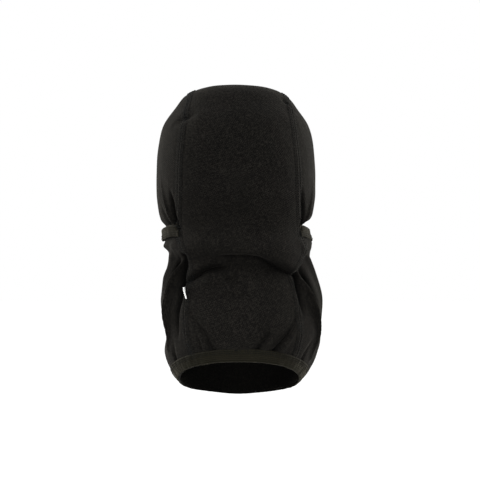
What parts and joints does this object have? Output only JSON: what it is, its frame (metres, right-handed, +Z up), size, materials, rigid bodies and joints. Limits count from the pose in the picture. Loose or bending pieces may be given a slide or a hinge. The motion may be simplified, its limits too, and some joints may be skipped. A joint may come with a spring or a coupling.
{
  "type": "balaclava",
  "caption": "Fleece ski balaclava as worn: hood, neck, and a hinged lower-face mask with an elastic band that drops under the chin.",
  "frame": {"origin": "middle of the wearer's head at the height of the mask's hinge line, 154 mm below the crown", "axes": "+Z up to the crown, -Y out of the face opening, +X to the wearer's left"},
  "size_m": [0.174, 0.2128, 0.339],
  "materials": {
    "fleece": "brushed stretch fleece, charcoal black",
    "binding": "ribbed elastic binding, very dark olive",
    "thread": "textured polyester thread, charcoal",
    "label": "white satin tape"
  },
  "bodies": {
    "hood": {"centre_panel": "fleece", "left_hood_panel": "fleece", "right_hood_panel": "fleece", "neck_panel": "fleece", "face_binding": "binding", "hem_binding": "binding", "left_seam_stitching": "thread", "right_seam_stitching": "thread", "face_stitching": "thread", "hem_stitching": "thread", "left_hinge_tack": "thread", "right_hinge_tack": "thread", "side_label": "label"},
    "mask": {"mask_panel": "fleece", "mask_band": "binding", "mask_stitching": "thread"}
  },
  "joints": [
    {"name": "mask_hinge", "type": "hinge", "parent": "hood", "child": "mask", "pos_m": [0, 0.0577, 0], "axis": [1, 0, 0], "range_deg": [0, 36]}
  ]
}
